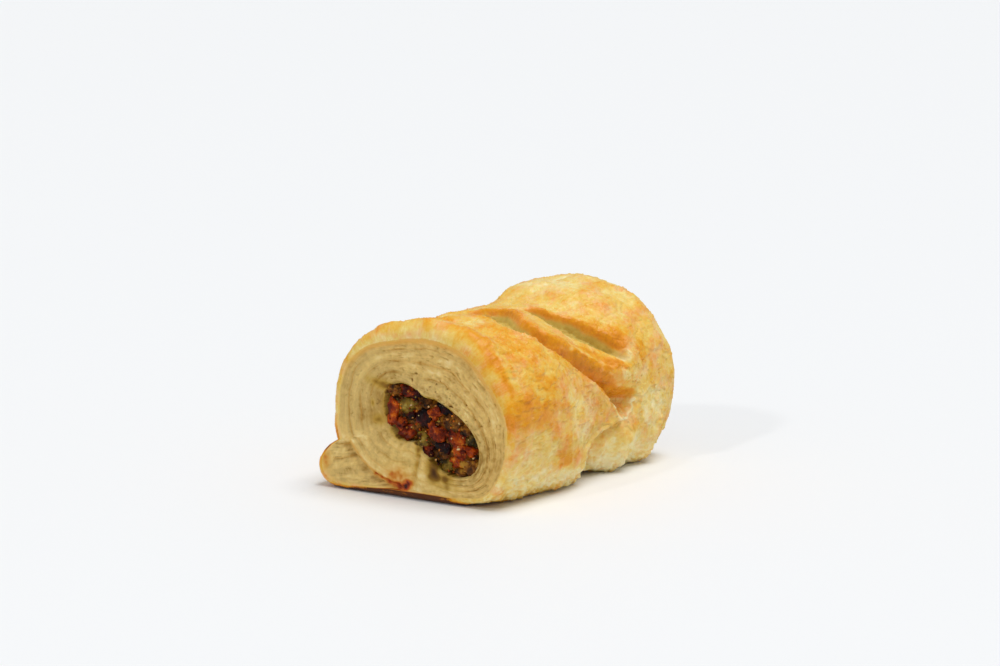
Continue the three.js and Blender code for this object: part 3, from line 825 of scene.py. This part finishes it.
# puff pastry, egg-washed and oven-baked: a dry satin skin, cream where it stayed pale through gold to
# orange-brown where it caught, and matt cream-coloured leaves at the cuts, with fine dark gaps of painted
# shade
crustValues = {
    "golden": ((0, "#f7e8b0"), (0.15, "#f3da8c"), (0.3, "#edc866"), (0.45, "#eab544"), (0.58, "#e8a01e"),
               (0.7, "#e0920a"), (0.82, "#cc840c"), (0.92, "#985a12"), (1, "#5e300a")),
    "rosy": ((0, "#f8e9ba"), (0.15, "#f5dc9e"), (0.3, "#f2ca86"), (0.45, "#efb46a"), (0.58, "#ec9e44"),
             (0.7, "#e08c1c"), (0.82, "#ca7c14"), (0.92, "#965412"), (1, "#5c2c0a")),
    "leaves": ((0, "#74501a"), (0.25, "#b48e46"), (0.45, "#d2b169"), (0.62, "#e6c476"), (0.8, "#f2d994"),
               (1, "#f8eabc")),
    "doughy": ((0, "#8c6c22"), (0.35, "#bd9a40"), (0.6, "#d8bd62"), (1, "#f0e0a0")),
    "caught": ((0, "#e3b24a"), (0.3, "#dc9a35"), (0.6, "#c2581a"), (0.85, "#8a2e0c"), (1, "#451408")),
    "juice": ((0, "#dcb95a"), (0.3, "#c39a32"), (0.55, "#8a6216"), (0.8, "#63400a"), (1, "#4c2c06")),
    "warmed": "#e0a038", "stainGain": {"juice": 2, "caught": 2.4},
    "grains": ((4, 0.3), (1.1, 0.34), (0.45, 0.2)), "blushFrom": 0.46,
    "blushFull": 0.66, "leafThickness": 0.35, "leafLength": 3, "leafShade": 0.2, "crumbShade": 0.6,
    "grainBump": 0.16, "leafBump": 0.14, "skinRoughness": 0.37, "leafRoughness": 0.62,
    "stickyGloss": -0.35, "specular": 0.27, "softLight": 0.2,
}


def bakedPuffPastry():
    material = newMaterial("bakedPuffPastry")
    values = crustValues
    kept = {}
    for name in ("bake", "cutLayers", "tone", "doughy", "warm", "caught", "juice"):
        kept[name] = addNode(material, "Attribute", {"attribute_name": name}).outputs["Fac"]
    where = addNode(material, "TexCoord").outputs["Object"]
    # grains of a few sizes, each (millimetres, share), shift the browning up and down about its own value
    patterns, uneven = [], -sum(share for _, share in values["grains"]) / 2
    for size, share in values["grains"]:
        patterns.append(addNode(material, "TexNoise", None, {
            "Vector": where, "Scale": 1 / (size * mm), "Detail": 4, "Roughness": 0.62}))
        uneven = addNode(material, "Math", {"operation": "MULTIPLY_ADD"}, {
            0: patterns[-1], 1: share, 2: uneven})
    bake = addNode(material, "Math", {"operation": "ADD"}, {0: kept["bake"], 1: uneven})
    golden = addNode(material, "ValToRGB", None, {"Fac": bake}, values["golden"])
    rosy = addNode(material, "ValToRGB", None, {"Fac": bake}, values["rosy"])
    blush = addNode(material, "MapRange", None, {
        "Value": patterns[0], "From Min": values["blushFrom"], "From Max": values["blushFull"]})

    leafPlace = addNode(material, "Attribute", {"attribute_name": "leafPlace"}).outputs["Vector"]
    across, along = 1 / values["leafThickness"], 1 / values["leafLength"]
    stretched = addNode(material, "VectorMath", {"operation": "MULTIPLY"}, {
        0: leafPlace, 1: (across, along, along)})
    leafNoise = addNode(material, "TexNoise", None, {
        "Vector": stretched, "Scale": 1, "Detail": 2, "Roughness": 0.6})
    tone = -values["leafShade"] / 2
    parts = ((leafNoise, values["leafShade"]), (uneven, values["crumbShade"]), (kept["tone"], 1))
    for pattern, share in parts:
        tone = addNode(material, "Math", {"operation": "MULTIPLY_ADD"}, {0: pattern, 1: share, 2: tone})
    leaves = addNode(material, "ValToRGB", None, {"Fac": tone}, values["leaves"])
    dough = addNode(material, "ValToRGB", None, {"Fac": tone}, values["doughy"])
    inside = addNode(material, "Mix", {"data_type": "RGBA"}, {
        0: kept["doughy"], 6: leaves, 7: dough}).outputs[2]

    # one colour over another: rosy over golden skin, then the cuts, the warm tint and the stains
    over = [(blush, rosy), (kept["cutLayers"], inside), (kept["warm"], linear(values["warmed"]))]
    for name, gain in values["stainGain"].items():
        amount = addNode(material, "Math", {"operation": "MULTIPLY", "use_clamp": True}, {
            0: kept[name], 1: gain})
        stain = addNode(material, "ValToRGB", None, {"Fac": kept[name]}, values[name])
        over.append((amount, stain))
    colour = golden
    for amount, layer in over:
        colour = addNode(material, "Mix", {"data_type": "RGBA"}, {
            0: amount, 6: colour, 7: layer}).outputs[2]

    grainBump = addNode(material, "Bump", None, {
        "Strength": 0.6, "Distance": values["grainBump"] * mm, "Height": uneven})
    leafBump = addNode(material, "Bump", None, {
        "Strength": 0.35, "Distance": values["leafBump"] * mm, "Height": leafNoise, "Normal": grainBump})
    matt = addNode(material, "MapRange", None, {
        "Value": kept["cutLayers"], "To Min": values["skinRoughness"], "To Max": values["leafRoughness"]})
    sticky = addNode(material, "Math", {"operation": "MULTIPLY_ADD"}, {
        0: kept["caught"], 1: values["stickyGloss"], 2: matt})
    shader = addNode(material, "BsdfPrincipled", None, {
        "Base Color": colour, "Roughness": sticky, "IOR": 1.45, "Specular IOR Level": values["specular"],
        "Subsurface Weight": values["softLight"], "Subsurface Radius": (1, 0.6, 0.3),
        "Subsurface Scale": mm, "Normal": leafBump})
    addNode(material, "OutputMaterial", None, {"Surface": shader})
    return material


pastry = buildPastry()
pastry.data.materials.append(bakedPuffPastry())
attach(pastry, "root")
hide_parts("pastry")
print("pastry:", len(pastry.data.polygons), "faces")


# the chopped filling: a crumbly core that runs through the roll, with the larger pieces set into its ends
fillingLook = {
    "setBack": 0.55, "coreSetBack": 1.15, "drawnIn": 0.36, "around": 260, "rings": 46, "along": 30,
    "lump": 0.7, "lumpSize": 2.8, "crumb": 0.4, "crumbSize": 0.9, "shrunkEdge": 0.9, "pieceDepth": 3,
    "pieceScale": 1.12, "pieceRoughness": ((0.34, 0.85), (0.2, 0.4), (0.1, 0.2)), "loosePerEnd": 200,
    "looseSize": (0.18, 0.5), "looseY": (-14.5, 13), "looseZ": (6.5, 28),
}

# the larger pieces at the front cut: kind, y, z, width, height (millimetres), turn in degrees, how far it
# stands out, how light it is
cutPieces = (
    ("rusk", 8, 24.5, 3.8, 2.4, 8, 0.2, 0.5), ("mince", 5.3, 24.4, 3.4, 2.6, -10, 0.3, 0.45),
    ("darkHerb", 2.7, 23.7, 3.2, 2.4, -20, 0, 0.4), ("pepper", 8.4, 19.5, 2.7, 5.6, 10, 0.6, 0.4),
    ("onion", 4.9, 21.2, 4.6, 3.6, 20, 0.3, 0.45), ("darkHerb", 3.4, 19.2, 1.9, 1.8, 0, 0.6, 0.3),
    ("rusk", 7.2, 22.4, 3.2, 2, 10, 0.1, 0.5), ("mince", 6.4, 16.9, 2.8, 2.8, 0, 0.3, 0.75),
    ("pepper", 4.4, 15.2, 4.6, 2.8, -25, 0.2, 0.2), ("rusk", 1.9, 17, 2.8, 2.8, 0, 0, 0.3),
    ("darkHerb", -0.1, 19, 3.8, 4.6, -15, 0.3, 0.15), ("rusk", -0.2, 22.2, 3.2, 2.4, 10, 0, 0.6),
    # the dark piece at y -5.2 along the filling's upper edge is painted shade
    ("mince", -2.9, 20.4, 3.2, 3, -30, 0.4, 0.7), ("darkHerb", -5.2, 21.6, 4.6, 1.8, 35, -0.1, 0.2),
    ("rusk", -7.2, 18.9, 5.2, 4.4, 35, 0.1, 0.55), ("mince", -3.3, 16.2, 5, 3.6, 25, 0.7, 0.65),
    ("onion", 0.4, 14, 3, 3.2, 0, 0.3, 0.7), ("mince", -0.4, 11.6, 2.8, 2.6, 0, 0.2, 0.3),
    ("darkHerb", -4.9, 12.9, 3.6, 3.2, 30, 0.1, 0.25), ("mince", -8.2, 15.3, 3.9, 3.2, 20, 0.3, 0.6),
    ("pepper", -12.3, 12.7, 2.6, 2.2, 20, 0.6, 0.55), ("mince", -9.5, 12.3, 4, 3.2, 10, 0.5, 0.5),
    ("onion", -12.6, 15.2, 2.6, 2.8, 0, 0.2, 0.3), ("rusk", -11.3, 17.2, 3.8, 3, 40, 0.1, 0.55),
    ("rusk", -12.2, 9.4, 4.6, 3.6, 10, 0.4, 0.8), ("mince", -8.6, 9.9, 3.8, 2.8, 0, 0.2, 0.75),
    ("onion", -5.6, 9, 3.4, 2.6, -10, 0.1, 0.45), ("rusk", -9.9, 7.8, 4, 1.8, 5, 0.1, 0.7),
)


def insideFilling(y, z, margin):
    # above 0 where (y, z) is inside the filling's outline, drawn in by the margin
    fromY, fromZ = y - fillingShape["y"], z - fillingShape["z"]
    edgeY, edgeZ = fillingOutline(np.arctan2(fromZ, fromY), margin)
    return np.hypot(edgeY - fillingShape["y"], edgeZ - fillingShape["z"]) - np.hypot(fromY, fromZ)


def fillingEndRelief(y, z, seed):
    look = fillingLook
    lumpy = look["lump"] * faceNoise(y, z, look["lumpSize"], seed, 0, 2)
    crumbly = look["crumb"] * faceNoise(y, z, look["crumbSize"], seed, 3, 2)
    return lumpy + crumbly - look["shrunkEdge"] * hump(insideFilling(y, z, look["drawnIn"]), 0, 0.7)


def buildFillingCore():
    look = fillingLook
    around = look["around"]
    middle = np.array([fillingShape["y"], fillingShape["z"]])
    edge = np.stack(fillingOutline(np.arange(around) / around * 2 * np.pi, look["drawnIn"]), -1)
    t = (np.arange(1, look["rings"] + 1) / look["rings"])[:, None, None]
    face = middle + (edge - middle) * t
    ends, poles = [], []
    for end, seed in ((-1, 400), (1, 420)):
        poleX = cutX(end) - end * look["coreSetBack"]
        x = poleX + end * fillingEndRelief(face[..., 0], face[..., 1], seed)
        ends.append(np.concatenate([x[..., None], face], -1))
        poles.append([[poleX, *middle]])
    front, back = ends
    s = (np.arange(1, look["along"]) / look["along"])[:, None, None]
    rings = np.concatenate([front, front[-1] * (1 - s) + back[-1] * s, back[::-1]])
    points = np.concatenate([rings.reshape(-1, 3), *poles])
    index = np.arange(around)
    after = np.roll(index, -1)
    last = (len(rings) - 1) * around
    frontFan = np.stack([index, after, np.full(around, len(points) - 2)], -1)
    backFan = np.stack([last + after, last + index, np.full(around, len(points) - 1)], -1)
    core = meshFrom("fillingCore", points, gridFaces(len(rings), around, False)[:, ::-1], frontFan, backFan)
    keepValues(core, {"shade": clamp01(0.5 + 0.5 * layeredNoise(*points.T, 2.4, 430, 2))})
    return core


def ballMesh(levels):
    ball = bmesh.new()
    bmesh.ops.create_icosphere(ball, subdivisions=levels, radius=1)
    points = np.array([corner.co[:] for corner in ball.verts])
    faces = np.array([[corner.index for corner in face.verts] for face in ball.faces])
    ball.free()
    return points, faces


def choppedPiece(ball, place, size, turn, blocky, seed):
    # a ball squared off like a chopped cube, roughened, then turned about the roll's axis
    points = ball[0]
    squared = np.sign(points) * np.abs(points) ** blocky
    squared = squared / np.max(np.abs(squared), axis=1, keepdims=True) ** 0.35
    rough = 1
    for number, (height, width) in enumerate(fillingLook["pieceRoughness"]):
        rough = rough + height * noise(*points.T, width, seed + number)
    body = squared * rough[:, None] * (np.array(size) / 2)
    c, s = math.cos(math.radians(turn)), math.sin(math.radians(turn))
    turned = np.stack([body[:, 0], body[:, 1] * c - body[:, 2] * s, body[:, 1] * s + body[:, 2] * c], -1)
    return turned + np.array(place)


def gatherPieces():
    # the cut pieces at the front, the same places with other kinds at the back, and loose crumbs over both
    look = fillingLook
    draw = np.random.default_rng(77)
    coarse, fine = ballMesh(2), ballMesh(4)
    kinds = [(piece[0], piece[-1]) for piece in cutPieces]
    gathered = {kind: [] for kind in fillingFoods}
    shares = [food["share"] for food in fillingFoods.values()]
    depth, scale = look["pieceDepth"], look["pieceScale"]
    for end in (-1, 1):
        atX = cutX(end)
        order = np.arange(len(kinds)) if end < 0 else draw.permutation(len(kinds))
        for number, (_, y, z, width, height, turn, proud, _) in enumerate(cutPieces):
            kind, light = kinds[order[number]]
            x = atX - end * (look["setBack"] + depth / 2 - proud)
            seed = 500 + number + (100 if end > 0 else 0)
            body = choppedPiece(fine, (x, y, z), (depth, scale * width, scale * height), turn, 1, seed)
            gathered[kind].append((body, fine[1], light))
        placed = 0
        while placed < look["loosePerEnd"]:
            y, z = draw.uniform(*look["looseY"]), draw.uniform(*look["looseZ"])
            size = draw.uniform(*look["looseSize"])
            kind = draw.choice(list(fillingFoods), p=shares)
            turn, shade, proud = draw.uniform(0, 180), draw.uniform(0.2, 0.9), draw.uniform(-0.1, 0.55)
            if insideFilling(y, z, look["drawnIn"] + 0.5 * size + 0.3) < 0:
                continue
            x = atX - end * (look["setBack"] + 0.2 - proud)
            long = size * draw.uniform(0.9, 1.8)
            body = choppedPiece(coarse, (x, y, z), (size, long, size), turn, 0.85, 700 + placed % 40)
            gathered[str(kind)].append((body, coarse[1], shade))
            placed += 1
    return gathered


def joinPieces(name, bodies):
    points, faces, shades = [], [], []
    start = 0
    for body, sides, shade in bodies:
        points.append(body)
        faces.append(sides + start)
        shades.append(np.full(len(body), shade))
        start += len(body)
    points = np.concatenate(points)
    points[:, 0] = np.clip(points[:, 0], roll["frontX"] - 0.35, roll["backX"] + 0.35)
    piece = meshFrom(name, points, np.concatenate(faces))
    keepValues(piece, {"shade": np.concatenate(shades)})
    return piece


# cooked foods of the filling. Each is wet with its own fat, so it has small sharp glints:
# minced sausage meat is red-brown and crumbly, red pepper is bright and smooth, onion is soft and
# half clear with an olive tint from the juice, dark herbs and skins are nearly black, rusk soaks up
# the gravy and is a dull tan brown, and the pale specks of set fat stand in for painted glints as well.
# Each has its colours, its grain and bump in millimetres, and its share of the loose crumbs
fillingFoods = {
    "mince": {"stops": ((0.25, "#360a03"), (0.45, "#7a2404"), (0.62, "#b04a08"), (0.85, "#d88e2c")),
              "grain": 1.1, "bump": 0.5, "roughness": 0.42, "clear": 0.12, "share": 0.34},
    "pepper": {"stops": ((0.25, "#5a1603"), (0.45, "#923204"), (0.62, "#c05206"), (0.85, "#e89230")),
               "grain": 1.6, "bump": 0.4, "roughness": 0.3, "clear": 0.3, "share": 0.12},
    "onion": {"stops": ((0.25, "#33260a"), (0.45, "#644c10"), (0.62, "#8a6c20"), (0.85, "#c0a850")),
              "grain": 1.6, "bump": 0.4, "roughness": 0.32, "clear": 0.4, "share": 0.06},
    "darkHerb": {"stops": ((0.25, "#0c0204"), (0.45, "#300805"), (0.62, "#5c1808"), (0.85, "#8a3c10")),
                 "grain": 1.1, "bump": 0.4, "roughness": 0.34, "clear": 0.05, "share": 0.06},
    "rusk": {"stops": ((0.25, "#221003"), (0.45, "#583008"), (0.62, "#86500e"), (0.85, "#b8862c")),
             "grain": 0.9, "bump": 0.5, "roughness": 0.5, "clear": 0.12, "share": 0.2},
    # pale specks of set fat, which also serve as painted glints
    "fat": {"stops": ((0.25, "#9c5c24"), (0.45, "#c88c4c"), (0.62, "#e4ba80"), (0.85, "#f8e2bc")),
            "grain": 0.9, "bump": 0.2, "roughness": 0.3, "clear": 0.4, "share": 0.22},
}


# the film of juice and fat over every food: its blotches in millimetres, and how it shines
wetness = {
    "blotch": 2.6, "soaked": 0.95, "darkest": 0.77, "specular": 0.06, "coat": 0.16, "coatRough": 0.06,
}


def cookedFood(kind):
    material = newMaterial("cooked" + kind[0].upper() + kind[1:])
    food = fillingFoods[kind]
    where = addNode(material, "TexCoord").outputs["Object"]
    grain = addNode(material, "TexNoise", None, {
        "Vector": where, "Scale": 1 / (food["grain"] * mm), "Detail": 4, "Roughness": 0.65})
    shade = addNode(material, "Attribute", {"attribute_name": "shade"}).outputs["Fac"]
    blotch = addNode(material, "TexNoise", None, {
        "Vector": where, "Scale": 1 / (wetness["blotch"] * mm), "Detail": 1})
    # the juice's blotches, the food's own shade and its grain add up to how light it is
    tone = -wetness["darkest"]
    for pattern, share in ((blotch, wetness["soaked"]), (shade, 0.5), (grain, 1)):
        tone = addNode(material, "Math", {"operation": "MULTIPLY_ADD"}, {0: pattern, 1: share, 2: tone})
    colour = addNode(material, "ValToRGB", None, {"Fac": tone}, food["stops"])
    bump = addNode(material, "Bump", None, {
        "Strength": 0.8, "Distance": food["bump"] * mm, "Height": grain})
    shader = addNode(material, "BsdfPrincipled", None, {
        "Base Color": colour, "Roughness": food["roughness"], "IOR": 1.42,
        "Specular IOR Level": wetness["specular"], "Subsurface Weight": food["clear"],
        "Subsurface Radius": (1, 0.5, 0.2), "Subsurface Scale": 0.8 * mm,
        "Coat Weight": wetness["coat"], "Coat Roughness": wetness["coatRough"], "Normal": bump})
    addNode(material, "OutputMaterial", None, {"Surface": shader})
    return material


fillingCore = buildFillingCore()
fillingCore.data.materials.append(cookedFood("rusk"))
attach(fillingCore, "root")
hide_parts("filling")
print("filling core:", len(fillingCore.data.polygons), "faces")

for kind, bodies in gatherPieces().items():
    choppings = joinPieces(kind + "Pieces", bodies)
    choppings.data.materials.append(cookedFood(kind))
    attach(choppings, "root")
    print(kind, "pieces:", len(bodies), "with", len(choppings.data.polygons), "faces")


studio = {
    "floor": "#f1f2f3",
    "floorSize": 8,
    "room": "#f4f6f8",
    "roomLight": 0.44,
    "lights": {
        "overheadSoftbox": {"power": 2.05, "spread": 34, "from": (0.07, -0.26, 1)},
        "smallFrontLamp": {"power": 0.36, "spread": 4, "from": (-0.8, 0.15, 0.55)},
    },
}


def buildStudio():
    half = studio["floorSize"] / 2
    mesh = bpy.data.meshes.new("floor")
    corners = [(-half, -half, 0), (half, -half, 0), (half, half, 0), (-half, half, 0)]
    mesh.from_pydata(corners, [], [(0, 1, 2, 3)])
    floor = placeObject("floor", mesh)
    floorPaint = newMaterial("mattStudioPaint")
    paint = addNode(floorPaint, "BsdfPrincipled", None, {
        "Base Color": linear(studio["floor"]), "Roughness": 0.6, "Specular IOR Level": 0.2})
    addNode(floorPaint, "OutputMaterial", None, {"Surface": paint})
    mesh.materials.append(floorPaint)
    world = bpy.data.worlds.new("studioRoom")
    bpy.context.scene.world = world
    world.use_nodes = True
    background = world.node_tree.nodes["Background"]
    background.inputs["Color"].default_value = linear(studio["room"])
    background.inputs["Strength"].default_value = studio["roomLight"]
    for name, values in studio["lights"].items():
        light = bpy.data.lights.new(name, "SUN")
        light.angle = math.radians(values["spread"])
        light.energy = values["power"]
        lamp = placeObject(name, light)
        lamp.rotation_euler = (-Vector(values["from"])).to_track_quat("-Z", "Y").to_euler()


# metres, degrees and millimetres of sensor and lens
viewpoint = {
    "at": (-0.61115, -0.39129, 0.16785), "down": 10.571, "heading": -57.372, "sensor": 36, "lens": 115.2,
}


def buildCamera():
    camera = placeObject("camera", bpy.data.cameras.new("camera"))
    camera.data.sensor_width = viewpoint["sensor"]
    camera.data.lens = viewpoint["lens"]
    camera.location = viewpoint["at"]
    camera.rotation_euler = (math.radians(90 - viewpoint["down"]), 0, math.radians(viewpoint["heading"]))
    bpy.context.scene.camera = camera


buildStudio()
buildCamera()
bpy.context.scene.view_settings.view_transform = "Standard"
print("studio ready")
